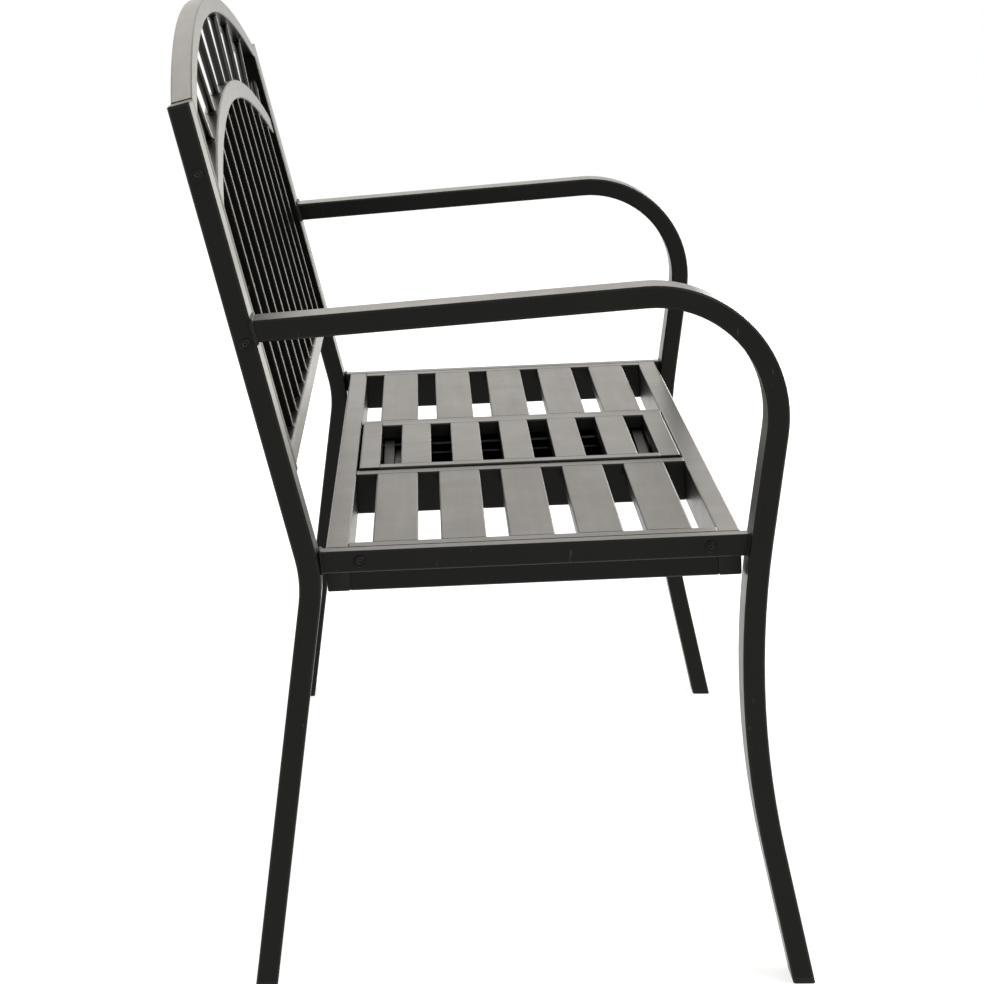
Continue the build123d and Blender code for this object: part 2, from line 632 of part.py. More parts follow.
# Base guides: angle strips on the pan with a slot for the lower rod
base_guide_high = RAIL_DEEP - TRAY_SHEET - LOWER_PIVOT_DROP + slot_high / 2 + BASE_GUIDE_RIM
base_guide_long = slide_rest_x - fixed_pivot_x + 2 * GUIDE_END
pan_top = RAIL_DEEP - TRAY_SHEET
for way, way_name in ways:
    with BuildPart() as base_guide:
        with BuildSketch(outward(way, base_guide_out)) as guide_face:
            with Locations((cross_x, base_guide_high / 2 - pan_top)):
                Rectangle(base_guide_long, base_guide_high)
            fillet(guide_face.vertices().group_by(Axis.Y)[-1], GUIDE_ROUND)
            guideSlot(LOWER_PIVOT_DROP)
        extrude(amount=-way * GUIDE_THICK)
        with BuildSketch(outward(way, base_guide_end)):
            with Locations((cross_x, GUIDE_THICK / 2 - pan_top)):
                Rectangle(base_guide_long, GUIDE_THICK)
        extrude(amount=-way * (GUIDE_FOOT - GUIDE_THICK))
    save(base_guide.part, f"base_guide_{way_name}")

# Fixed hinge studs of the outer arms: a shoulder on the guide, then the journal
with BuildPart() as studs:
    for way, way_name in ways:
        shoulder_end = outer_arm_end + FIT_GAP
        roundBar(way, fixed_pivot_x, LOWER_PIVOT_DROP, PIN_HEAD_RADIUS, base_guide_out, shoulder_end)
        roundBar(way, fixed_pivot_x, LOWER_PIVOT_DROP, PIN_RADIUS, shoulder_end, outer_arm_out + FIT_GAP)
save(studs.part, "lower_hinge_studs")


def scissorArm(way, start, fixed_drop, slide_drop, tip):
    with BuildPart() as arm:
        with BuildSketch(outward(way, start)):
            with Locations((cross_x, -cross_drop)):
                SlotCenterToCenter(arm_span, ARM_HIGH, rotation=tip)
                Circle(PIN_RADIUS + RUN_GAP, mode=Mode.SUBTRACT)
            with Locations((fixed_pivot_x, -fixed_drop)):
                Circle(PIN_RADIUS + RUN_GAP, mode=Mode.SUBTRACT)
            with Locations((slide_rest_x, -slide_drop)):
                Circle(ROD_RADIUS + RUN_GAP, mode=Mode.SUBTRACT)
        extrude(amount=-way * ARM_THICK)
    return arm.part


for way, way_name in ways:
    save(scissorArm(way, outer_arm_out, LOWER_PIVOT_DROP, UPPER_PIVOT_DROP, degrees(rest_angle)),
         f"outer_arm_{way_name}")
    save(scissorArm(way, inner_arm_out, UPPER_PIVOT_DROP, LOWER_PIVOT_DROP, -degrees(rest_angle)),
         f"inner_arm_{way_name}")

# Rivets where the arms cross
with BuildPart() as cross_pins:
    for way, way_name in ways:
        inner_head = inner_arm_out - FIT_GAP
        outer_head = outer_arm_end + FIT_GAP
        roundBar(way, cross_x, cross_drop, PIN_HEAD_RADIUS, inner_head - PIN_HEAD_HIGH, inner_head)
        roundBar(way, cross_x, cross_drop, PIN_RADIUS, inner_head, outer_head)
        roundBar(way, cross_x, cross_drop, PIN_HEAD_RADIUS, outer_head, outer_head + PIN_HEAD_HIGH)
save(cross_pins.part, "cross_pins")


# Sliding rods: a head at the front end and a push-on clip at the rear end
def slideRod(drop, reach):
    end = reach + FIT_GAP + ROD_HEAD_HIGH
    with BuildPart() as rod:
        roundBar(1, slide_rest_x, drop, ROD_RADIUS, -reach - FIT_GAP, end)
        roundBar(1, slide_rest_x, drop, ROD_HEAD_RADIUS, -end, -reach - FIT_GAP)
    return rod.part


def rodClip(drop, reach):
    with BuildPart() as clip:
        with BuildSketch(outward(1, reach + FIT_GAP)):
            with Locations((slide_rest_x, -drop)):
                Circle(ROD_HEAD_RADIUS)
                Circle(ROD_RADIUS + RUN_GAP, mode=Mode.SUBTRACT)
        extrude(amount=-ROD_HEAD_HIGH)
    return clip.part


for rod_name, drop, reach in (("lower", LOWER_PIVOT_DROP, base_guide_end),
                              ("upper", UPPER_PIVOT_DROP, table_guide_end)):
    save(slideRod(drop, reach), f"{rod_name}_rod")
    save(rodClip(drop, reach), f"{rod_name}_rod_clip")

# Table: a welded frame of two rails and two end rails, filled with slats
table_rail_half = table_half - PLUG_FLANGE
table_inside = table_depth - 2 * TABLE_RAIL_WIDE
for way, way_name in ways:
    rail_y = table_mid_y + way * (table_depth / 2 - TABLE_RAIL_WIDE / 2)
    save(tubeAlong(lengthwise(-table_rail_half, rail_y), 2 * table_rail_half, TABLE_RAIL_WIDE,
                   TABLE_HIGH, TABLE_CORNER, TABLE_WALL, TABLE_PROUD), f"table_{way_name}_rail")
for side, side_name in sides:
    end_x = side * (table_half - TABLE_END_WIDE / 2)
    save(tubeAlong(crosswise(end_x, table_mid_y + table_inside / 2), table_inside, TABLE_END_WIDE,
                   TABLE_HIGH, TABLE_CORNER, TABLE_WALL, TABLE_PROUD), f"table_end_rail_{side_name}")

table_slat_half = table_half - TABLE_END_WIDE
table_slat_pitch = (table_inside + TABLE_SLAT_WIDE) / (TABLE_SLAT_COUNT + 1)
first_slat_y = table_mid_y - table_inside / 2 - TABLE_SLAT_WIDE / 2
with BuildPart() as table_slats:
    for number in range(TABLE_SLAT_COUNT):
        slat_y = first_slat_y + table_slat_pitch * (number + 1)
        add(tubeAlong(lengthwise(-table_slat_half, slat_y), 2 * table_slat_half, TABLE_SLAT_WIDE,
                      TABLE_HIGH, TABLE_CORNER, TABLE_WALL, TABLE_PROUD))
save(table_slats.part, "table_slats")

with BuildPart() as table_plugs:
    plug_wall = TABLE_WALL + STEM_GAP
    for way, way_name in ways:
        rail_y = table_mid_y + way * (table_depth / 2 - TABLE_RAIL_WIDE / 2)
        for side, side_name in sides:
            with BuildSketch(lengthwise(side * table_rail_half, rail_y)):
                with Locations((0, TABLE_PROUD - TABLE_HIGH / 2)):
                    edgedRectangle(TABLE_RAIL_WIDE, TABLE_HIGH, TABLE_CORNER)
            extrude(amount=side * PLUG_FLANGE)
            with BuildSketch(lengthwise(side * table_rail_half, rail_y)):
                with Locations((0, TABLE_PROUD - TABLE_HIGH / 2)):
                    Rectangle(TABLE_RAIL_WIDE - 2 * plug_wall, TABLE_HIGH - 2 * plug_wall)
            extrude(amount=-side * RAIL_PLUG_STEM)
save(table_plugs.part, "table_end_plugs")

# Table guides: plates under the table's rails with a slot for the upper rod
table_guide_low = UPPER_PIVOT_DROP + slot_high / 2 + TABLE_GUIDE_RIM
table_guide_high = table_guide_low - table_under
table_guide_long = slot_run + 2 * GUIDE_END
for way, way_name in ways:
    with BuildPart() as table_guide:
        with BuildSketch(outward(way, table_guide_out)) as guide_face:
            with Locations((slot_x, table_guide_high / 2 - table_guide_low)):
                Rectangle(table_guide_long, table_guide_high)
            fillet(guide_face.vertices().group_by(Axis.Y)[0], GUIDE_ROUND)
            guideSlot(UPPER_PIVOT_DROP)
        extrude(amount=-way * GUIDE_THICK)
    save(table_guide.part, f"table_guide_{way_name}")

# Brackets under the table's left end, and the pins that the inner arms turn on
bracket_end = inner_arm_out - BRACKET_ARM_GAP
bracket_out = bracket_end - GUIDE_THICK
with BuildPart() as brackets:
    for way, way_name in ways:
        with BuildSketch(outward(way, bracket_out)):
            with Locations((fixed_pivot_x, -UPPER_PIVOT_DROP)):
                Circle(BRACKET_RIM)
            with Locations((fixed_pivot_x, -table_under - GUIDE_THICK / 2)):
                Rectangle(2 * BRACKET_REACH, GUIDE_THICK)
            make_hull()
            with Locations((fixed_pivot_x, -UPPER_PIVOT_DROP)):
                Circle(PIN_RADIUS + RUN_GAP, mode=Mode.SUBTRACT)
        extrude(amount=-way * GUIDE_THICK)
save(brackets.part, "table_hinge_brackets")

with BuildPart() as hinge_pins:
    for way, way_name in ways:
        head_out = bracket_out - PIN_HEAD_HIGH
        roundBar(way, fixed_pivot_x, UPPER_PIVOT_DROP, PIN_HEAD_RADIUS, head_out, bracket_out)
        roundBar(way, fixed_pivot_x, UPPER_PIVOT_DROP, PIN_RADIUS, bracket_out, inner_arm_end - FIT_GAP)
save(hinge_pins.part, "upper_hinge_pins")
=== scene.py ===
import math

import bpy
import numpy as np
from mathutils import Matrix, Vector


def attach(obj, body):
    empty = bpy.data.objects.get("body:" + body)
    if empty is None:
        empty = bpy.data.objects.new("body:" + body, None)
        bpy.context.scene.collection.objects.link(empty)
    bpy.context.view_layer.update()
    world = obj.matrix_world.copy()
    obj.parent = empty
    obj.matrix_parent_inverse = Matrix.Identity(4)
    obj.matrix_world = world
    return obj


# Garden bench with a lift-up table, in black powder-coated steel tube. The frame brings the solids;
# this script gives them their finishes, lays the weld beads and sets up the studio.
# The bench's sizes are typed in millimetres, and meshPiece turns them into metres. The camera, the
# lamps and the floor are in metres.
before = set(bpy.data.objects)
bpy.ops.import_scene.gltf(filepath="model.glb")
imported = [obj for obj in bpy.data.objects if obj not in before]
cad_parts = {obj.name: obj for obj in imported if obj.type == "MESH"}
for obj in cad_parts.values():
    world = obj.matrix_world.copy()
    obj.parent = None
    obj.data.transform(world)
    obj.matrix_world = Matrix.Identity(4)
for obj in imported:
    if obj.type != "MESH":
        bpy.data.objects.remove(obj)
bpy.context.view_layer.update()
print("frame:", len(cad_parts), "nodes")

scene = bpy.context.scene
scene.view_settings.view_transform = "Standard"


# sRGB to linear: a straight line for the darkest values, a power of 2.4 above them
def linear(hexColour):
    parts = np.array([int(hexColour[i:i + 2], 16) for i in (1, 3, 5)]) / 255
    curve = np.where(parts <= 0.04045, parts / 12.92, ((parts + 0.055) / 1.055) ** 2.4)
    return (*curve.tolist(), 1.0)


# One node with its settings, values and links; a link from a whole node takes its first output
def addNode(tree, kind, values=None, links=None, **settings):
    node = tree.nodes.new(kind)
    for name, value in settings.items():
        setattr(node, name, value)
    for name, value in (values or {}).items():
        node.inputs[name].default_value = value
    for name, source in (links or {}).items():
        socket = source.outputs[0] if isinstance(source, bpy.types.Node) else source
        tree.links.new(socket, node.inputs[name])
    return node


def newTree(owner):
    owner.use_nodes = True
    owner.node_tree.nodes.clear()
    return owner.node_tree


# Camera: a long lens off the end of the bench, a little above the arms
camera = {"place": (-3.5629, 0.0692, 1.0892), "turn": -1.375, "down": 10.999, "lens": 111.585,
          "sensor": 36}
cameraData = bpy.data.cameras.new("benchCamera")
cameraData.lens = camera["lens"]
cameraData.sensor_width = camera["sensor"]
cameraData.sensor_fit = "HORIZONTAL"
cameraObject = bpy.data.objects.new("benchCamera", cameraData)
scene.collection.objects.link(cameraObject)
turn, down = math.radians(camera["turn"]), math.radians(camera["down"])
aim = Vector((math.cos(turn) * math.cos(down), math.sin(turn) * math.cos(down), -math.sin(down)))
cameraObject.location = camera["place"]
cameraObject.rotation_euler = aim.to_track_quat("-Z", "Y").to_euler()
scene.camera = cameraObject

# Studio: white surroundings for the eye and for reflections, and a dimmer fill for the light itself.
# The key comes from the front left, the rim lights the seat and the arms' tops from beyond the far
# end, the panel lamp lights the arches' front faces, and the back lamp the outer arch's outer side.
studio = {"fill": 0.42, "fillColour": "#f7f6f4", "white": "#ffffff",
          "floorSize": 16.0, "floor": "#e4e4e1", "glow": 0.76, "aimAt": (0, 0, 0.45),
          "lamps": {"keyLamp": {"place": (-1.6, -2.2, 3.0), "size": 2.4, "watts": 40,
                                "colour": "#fffaf3"},
                    "rimLamp": {"place": (5.6, 1.0, 3.35), "size": 4.8, "watts": 51,
                                "colour": "#fff2df"},
                    "panelLamp": {"place": (3.4, -1.5, 0.85), "size": 1.2, "watts": 23,
                                  "colour": "#fffaee"},
                    "backLamp": {"place": (2.5, 1.09, 3.26), "size": 1.6, "watts": 17,
                                 "colour": "#fffaf2"}}}


# One where a ray comes straight from the eye, off a gloss or through glass, and nought elsewhere
def seenRays(tree):
    rays = addNode(tree, "ShaderNodeLightPath").outputs
    direct = addNode(tree, "ShaderNodeMath", operation="MAXIMUM",
                     links={0: rays["Is Camera Ray"], 1: rays["Is Glossy Ray"]})
    return addNode(tree, "ShaderNodeMath", operation="MAXIMUM",
                   links={0: direct, 1: rays["Is Transmission Ray"]})


world = bpy.data.worlds.new("studio")
scene.world = world
tree = newTree(world)
fill = addNode(tree, "ShaderNodeBackground",
               {"Color": linear(studio["fillColour"]), "Strength": studio["fill"]})
white = addNode(tree, "ShaderNodeBackground", {"Color": linear(studio["white"]), "Strength": 1.0})
mixed = addNode(tree, "ShaderNodeMixShader", links={0: seenRays(tree), 1: fill, 2: white})
addNode(tree, "ShaderNodeOutputWorld", links={"Surface": mixed})

for name, look in studio["lamps"].items():
    data = bpy.data.lights.new(name, "AREA")
    data.shape = "SQUARE"
    data.size = look["size"]
    data.energy = look["watts"]
    data.color = linear(look["colour"])[:3]
    lamp = bpy.data.objects.new(name, data)
    lamp.location = look["place"]
    towards = Vector(studio["aimAt"]) - lamp.location
    lamp.rotation_euler = towards.to_track_quat("-Z", "Y").to_euler()
    lamp.visible_camera = False
    scene.collection.objects.link(lamp)


# Floor: one square at height nought, pale and matt, with a share of its own white for the eye
def studioFloor():
    half = studio["floorSize"] / 2
    mesh = bpy.data.meshes.new("studioFloor")
    mesh.from_pydata([(-half, -half, 0), (half, -half, 0), (half, half, 0), (-half, half, 0)], [],
                     [(0, 1, 2, 3)])
    floor = bpy.data.objects.new("studioFloor", mesh)
    scene.collection.objects.link(floor)
    material = bpy.data.materials.new("matt pale studio floor")
    tree = newTree(material)
    glow = addNode(tree, "ShaderNodeMath", {1: studio["glow"]}, {0: seenRays(tree)},
                   operation="MULTIPLY")
    matt = addNode(tree, "ShaderNodeBsdfDiffuse", {"Color": linear(studio["floor"])})
    light = addNode(tree, "ShaderNodeEmission", {"Color": linear(studio["white"])},
                    {"Strength": glow})
    both = addNode(tree, "ShaderNodeAddShader", links={0: matt, 1: light})
    addNode(tree, "ShaderNodeOutputMaterial", links={"Surface": both})
    mesh.materials.append(material)


studioFloor()
print("camera, lamps and floor ready")

# Edges of the solids are sharp, so a bevel rolls their normals round for the eye. The edge's colour
# comes in as a share: worn coat on the powder coats, and a painted highlight on the rims of the black
# oxide bolt heads. The share is nought where the rolled normal's cosine with the true one is whole or
# above, and most where it is at the full edge's cosine or below.
edges = {"samples": 6, "fullEdge": 0.75, "whole": 0.98, "most": 0.8}


def edgeWearAndHighlight(tree, rolled):
    true = addNode(tree, "ShaderNodeNewGeometry").outputs["True Normal"]
    agree = addNode(tree, "ShaderNodeVectorMath", links={0: rolled, 1: true},
                    operation="DOT_PRODUCT").outputs["Value"]
    return addNode(tree, "ShaderNodeMapRange",
                   {"From Min": edges["fullEdge"], "From Max": edges["whole"], "To Min": edges["most"],
                    "To Max": 0.0}, {"Value": agree})


# A finish's patterns, each a share from nought to one. A pattern is noise in object coordinates, and
# the look gives the size of its patches in millimetres, for all axes or for each. Its row gives the
# noise's detail and roughness, and the two heights of noise that become nought and one.
def patternShares(tree, place, look, rows):
    shares = {}
    for name, (detail, rough, low, high) in rows.items():
        perMetre = 1000 / np.broadcast_to(look[name + "Mm"], 3)
        spread = addNode(tree, "ShaderNodeMapping", {"Scale": perMetre.tolist()}, {"Vector": place})
        noise = addNode(tree, "ShaderNodeTexNoise",
                        {"Scale": 1.0, "Detail": detail, "Roughness": rough}, {"Vector": spread})
        shares[name] = addNode(tree, "ShaderNodeMapRange", {"From Min": low, "From Max": high},
                               {"Value": noise})
    return shares


# Powder coat: polyester powder baked on at 200 degrees. The melt leaves a satin skin with a shallow
# orange peel, draws back a little from the tubes' edges, which look greyer, and traps nibs of dust.
# Hands and cloths leave faint streaks along the tubes, and knocks leave a few pale scuffs. A film
# this dark hardly shines face on, so its facing reflection is held below what its gloss gives.
coat = {"colour": "#0b0b09", "thin": "#11110e", "edge": "#44433e", "scuff": "#3a3a35",
        "ior": 1.45, "facing": "#a8a8a4", "rough": (0.31, 0.35), "streak": (-0.012, 0.018),
        "edgeMm": 2.0, "filmMm": 70, "streakMm": (260, 14, 14), "scuffMm": (7, 7, 26),
        "peelMm": 3.2,      # really 1.5, drawn coarser so that it shows
        "peelHigh": 0.022,
        "nibMm": 7, "nibSize": 0.055, "nibHigh": 0.8}
coatRows = {"peel": (1.0, 0.45, 0.0, 1.0), "film": (3.0, 0.55, 0.3, 0.7),
            "scuff": (2.0, 0.55, 0.725, 0.765), "streak": (4.0, 0.6, 0.3, 0.7)}

# The table and the long rails of the seat have streaks across them from hands, and a raised IOR that
# is a painted sheen: it brightens their tops as though more light fell on them. The bars are duller
# than the frame and the rays glossier. The lift has a thin matt electrocoat, uneven and little worn at
# its edges.
tableCoat = dict(coat, colour="#0e0d0b", ior=1.8, streakMm=(9, 90, 9), streak=(-0.006, 0.014))
barCoat = dict(coat, ior=1.17, rough=(0.38, 0.42))
rayCoat = dict(coat, ior=1.5, facing="#d2d2cc", rough=(0.2, 0.25))
liftCoat = dict(coat, colour="#0c0c0b", thin="#121110", rough=(0.42, 0.5), ior=1.3, peelMm=4.5,
                filmMm=35, edgeMm=0.8, streak=(0.0, 0.03))


# In a colour mix, inputs 0, 6 and 7 are its share and its two colours, and output 2 is the result
def powderCoat(name, look):
    material = bpy.data.materials.new(name)
    tree = newTree(material)
    place = addNode(tree, "ShaderNodeTexCoord").outputs["Object"]
    shares = patternShares(tree, place, look, coatRows)
    dust = addNode(tree, "ShaderNodeTexVoronoi",
                   {"Scale": 1000 / look["nibMm"], "Randomness": 1.0}, {"Vector": place}, feature="F1")
    nib = addNode(tree, "ShaderNodeMapRange",
                  {"From Max": look["nibSize"], "To Min": 1.0, "To Max": 0.0}, {"Value": dust})
    rolled = addNode(tree, "ShaderNodeBevel", {"Radius": look["edgeMm"] / 1000},
                     samples=edges["samples"])
    cloud = addNode(tree, "ShaderNodeMix", {6: linear(look["colour"]), 7: linear(look["thin"])},
                    {0: shares["film"]}, data_type="RGBA").outputs[2]
    drawn = addNode(tree, "ShaderNodeMix", {7: linear(look["edge"])},
                    {0: edgeWearAndHighlight(tree, rolled), 6: cloud}, data_type="RGBA").outputs[2]
    base = addNode(tree, "ShaderNodeMix", {7: linear(look["scuff"])},
                   {0: shares["scuff"], 6: drawn}, data_type="RGBA").outputs[2]
    gloss = addNode(tree, "ShaderNodeMapRange",
                    {"To Min": look["rough"][0], "To Max": look["rough"][1]},
                    {"Value": shares["film"]})
    streak = addNode(tree, "ShaderNodeMapRange",
                     {"To Min": look["streak"][0], "To Max": look["streak"][1]},
                     {"Value": shares["streak"]})
    rough = addNode(tree, "ShaderNodeMath", links={0: gloss, 1: streak}, operation="ADD")
    height = addNode(tree, "ShaderNodeMath", {1: look["nibHigh"]}, {0: nib, 2: shares["peel"]},
                     operation="MULTIPLY_ADD")
    bump = addNode(tree, "ShaderNodeBump", {"Strength": 1.0, "Distance": look["peelHigh"] / 1000},
                   {"Height": height, "Normal": rolled})
    shader = addNode(tree, "ShaderNodeBsdfPrincipled",
                     {"IOR": look["ior"], "Specular Tint": linear(look["facing"])},
                     {"Base Color": base, "Roughness": rough, "Normal": bump})
    addNode(tree, "ShaderNodeOutputMaterial", links={"Surface": shader})
    return material


# Plugs and caps: injection moulded polyethylene off a spark-eroded tool, dull and slightly waxy
plastic = {"colour": "#10100f", "rough": (0.40, 0.50), "ior": 1.5, "shine": 0.24, "edgeMm": 0.8,
           "toneMm": 16, "grainMm": 1.6, "grainHigh": 0.03}
plasticRows = {"grain": (2.0, 0.6, 0.0, 1.0), "tone": (2.0, 0.5, 0.3, 0.7)}


def mouldedPlastic(name, look):
    material = bpy.data.materials.new(name)
    tree = newTree(material)
    place = addNode(tree, "ShaderNodeTexCoord").outputs["Object"]
    shares = patternShares(tree, place, look, plasticRows)
    rolled = addNode(tree, "ShaderNodeBevel", {"Radius": look["edgeMm"] / 1000},
                     samples=edges["samples"])
    bump = addNode(tree, "ShaderNodeBump", {"Strength": 1.0, "Distance": look["grainHigh"] / 1000},
                   {"Height": shares["grain"], "Normal": rolled})
    rough = addNode(tree, "ShaderNodeMapRange",
                    {"To Min": look["rough"][0], "To Max": look["rough"][1]},
                    {"Value": shares["tone"]})
    shader = addNode(tree, "ShaderNodeBsdfPrincipled",
                     {"Base Color": linear(look["colour"]), "IOR": look["ior"],
                      "Specular IOR Level": look["shine"]}, {"Roughness": rough, "Normal": bump})
    addNode(tree, "ShaderNodeOutputMaterial", links={"Surface": shader})
    return material


# Metals: zinc plate is pale with cloudy patches and a fine drawn grain, black oxide is dark and oily,
# with a painted highlight, a pale ring painted into the colour on the rims of the bolt heads, and the
# rods are drawn steel, blackened, with a thin line of light along them
metals = {"bright zinc plate": {"dark": "#8e9194", "light": "#bfc3c4", "edge": "#d2d5d6",
                                "rough": (0.36, 0.24), "edgeMm": 0.4, "cloudMm": 9,
                                "grainMm": 0.8, "grainHigh": 0.01},
          # black oxide's edge colour is a painted highlight on the rims of the bolt heads
          "black oxide steel": {"dark": "#171717", "light": "#222221", "edge": "#6c6c69",
                                "rough": (0.42, 0.28), "edgeMm": 0.9, "cloudMm": 5,
                                "grainMm": 1.2, "grainHigh": 0.012},
          "blackened drawn steel": {"dark": "#1d1d1d", "light": "#2c2c2b", "edge": "#3c3c3b",
                                    "rough": (0.26, 0.18), "edgeMm": 0.4, "cloudMm": 14,
                                    "grainMm": 1.0, "grainHigh": 0.008}}
metalRows = {"cloud": (3.0, 0.6, 0.3, 0.7), "grain": (1.0, 0.5, 0.0, 1.0)}


def metalFinish(name):
    look = metals[name]
    material = bpy.data.materials.new(name)
    tree = newTree(material)
    place = addNode(tree, "ShaderNodeTexCoord").outputs["Object"]
    shares = patternShares(tree, place, look, metalRows)
    rolled = addNode(tree, "ShaderNodeBevel", {"Radius": look["edgeMm"] / 1000},
                     samples=edges["samples"])
    bump = addNode(tree, "ShaderNodeBump", {"Strength": 1.0, "Distance": look["grainHigh"] / 1000},
                   {"Height": shares["grain"], "Normal": rolled})
    tone = addNode(tree, "ShaderNodeMix", {6: linear(look["dark"]), 7: linear(look["light"])},
                   {0: shares["cloud"]}, data_type="RGBA").outputs[2]
    # the edge colour mixed in at the rims; on the black oxide bolts it is a painted highlight
    base = addNode(tree, "ShaderNodeMix", {7: linear(look["edge"])},
                   {0: edgeWearAndHighlight(tree, rolled), 6: tone}, data_type="RGBA").outputs[2]
    rough = addNode(tree, "ShaderNodeMapRange",
                    {"To Min": look["rough"][0], "To Max": look["rough"][1]},
                    {"Value": shares["cloud"]})
    shader = addNode(tree, "ShaderNodeBsdfPrincipled", {"Metallic": 1.0},
                     {"Base Color": base, "Roughness": rough, "Normal": bump})
    addNode(tree, "ShaderNodeOutputMaterial", links={"Surface": shader})
    return material


frameCoat = powderCoat("satin black powder coat", coat)
# the table's and seat rails' coat carries a painted sheen, its raised IOR
topCoat = powderCoat("satin black powder coat, handled, painted sheen", tableCoat)
finishes = (
    (topCoat, ("table_rear_rail", "table_front_rail", "table_end_rail_left", "table_end_rail_right",
               "table_slats", "seat_rear_rail", "seat_front_rail")),
    (powderCoat("satin black powder coat, bars", barCoat),
     ("back_bars", "back_upright_left", "back_upright_right")),
    (powderCoat("glossy black powder coat, rays", rayCoat), ("back_rays",)),
    (mouldedPlastic("moulded black polyethylene", plastic),
     ("post_caps", "foot_plugs", "rail_end_plugs", "table_end_plugs")),
    (metalFinish("black oxide steel"), ("back_bolts", "seat_bolts")),
    (metalFinish("blackened drawn steel"), ("upper_rod", "lower_rod")),
    (metalFinish("bright zinc plate"),
     ("back_nuts", "seat_nuts", "tray_screws", "cross_pins", "lower_hinge_studs",
      "upper_hinge_pins", "upper_rod_clip", "lower_rod_clip")),
    (powderCoat("matt black electrocoat", liftCoat),
     ("outer_arm_rear", "outer_arm_front", "inner_arm_rear", "inner_arm_front", "base_guide_rear",
      "base_guide_front", "table_guide_rear", "table_guide_front", "table_hinge_brackets",
      "table_rests", "well_tray")))
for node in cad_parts.values():
    node.data.materials.clear()
    node.data.materials.append(frameCoat)
for material, names in finishes:
    for name in names:
        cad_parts[name].data.materials[0] = material
print("finishes on", len(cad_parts), "nodes")

# The seat leans back a little, and the back stands on the plane of its posts. Rises are measured
# along the back from the knee of the posts. An arch's rise is that of its top in the middle, and its
# crown is how far that stands above its ends.
seat = {"high": 457.2, "tilt": 2.205}
back = {"kneeY": 176.9, "kneeZ": 424.1, "lean": 14.75, "panelHalf": 554.6, "windowHalf": 534.6,
        "innerRise": 470.3, "innerCrown": 80.4, "innerHigh": 22, "outerRise": 571.9,
        "outerCrown": 83.9, "outerHigh": 20, "railTop": 122.6, "bars": 11, "barWide": 16,
        "barDeep": 12, "rays": 9, "rayRadius": 4.5, "rayPitch": 121.9, "rayFocus": 20}
seatTilt, backLean = math.radians(seat["tilt"]), math.radians(back["lean"])
seatRear = np.array((0, math.cos(seatTilt), -math.sin(seatTilt)))
seatUp = np.array((0, math.sin(seatTilt), math.cos(seatTilt)))
backUp = np.array((0, math.sin(backLean), math.cos(backLean)))
backFront = np.array((0, -math.cos(backLean), math.sin(backLean)))
across = np.array((1.0, 0, 0))
knee = np.array((0, back["kneeY"], back["kneeZ"]))


def seatPoint(x, y, z):
    return np.array((0, 0, seat["high"])) + x * across + y * seatRear + z * seatUp


def backPoint(x, rise):
    return knee + x * across + rise * backUp


# Radius of an arc from half its width and its crown
def arcRadius(half, crown):
    return (half ** 2 + crown ** 2) / (2 * crown)


def unit(vector):
    return np.asarray(vector, float) / np.linalg.norm(vector)


# Weld beads, laid along the corner between a tube's end and what it meets
bead = {"sides": 8, "stepMm": 0.8, "leastSteps": 12, "cornerPoints": 7,
        "rippleMm": 2.6, "ripple": 0.13, "leastRipples": 3,
        "waver": 0.22, "waverTurns": (2, 3, 7),
        "endPower": 0.25, "leastEnd": 1e-6}


# A rounded rectangle, walked anticlockwise from the middle of its top, between two shares of its
# length: four quarter circles joined by straights, then steps of even length along them
def outlinePath(half, corner, start, stop):
    quarter = np.linspace(0, math.pi / 2, bead["cornerPoints"])
    arcs = [np.c_[sx * (half[0] - corner) + corner * np.cos(begin + quarter),
                  sy * (half[1] - corner) + corner * np.sin(begin + quarter)]
            for sx, sy, begin in ((-1, 1, math.pi / 2), (-1, -1, math.pi), (1, -1, 1.5 * math.pi),
                                  (1, 1, 2 * math.pi))]
    line = np.vstack([[(0, half[1])], *arcs, [(0, half[1])]])
    run = np.r_[0, np.cumsum(np.linalg.norm(np.diff(line, axis=0), axis=1))]
    steps = max(int(run[-1] * (stop - start) / bead["stepMm"]), bead["leastSteps"])
    along = np.linspace(start, stop, steps, endpoint=(start, stop) != (0, 1)) * run[-1]
    return np.c_[np.interp(along, run, line[:, 0]), np.interp(along, run, line[:, 1])]


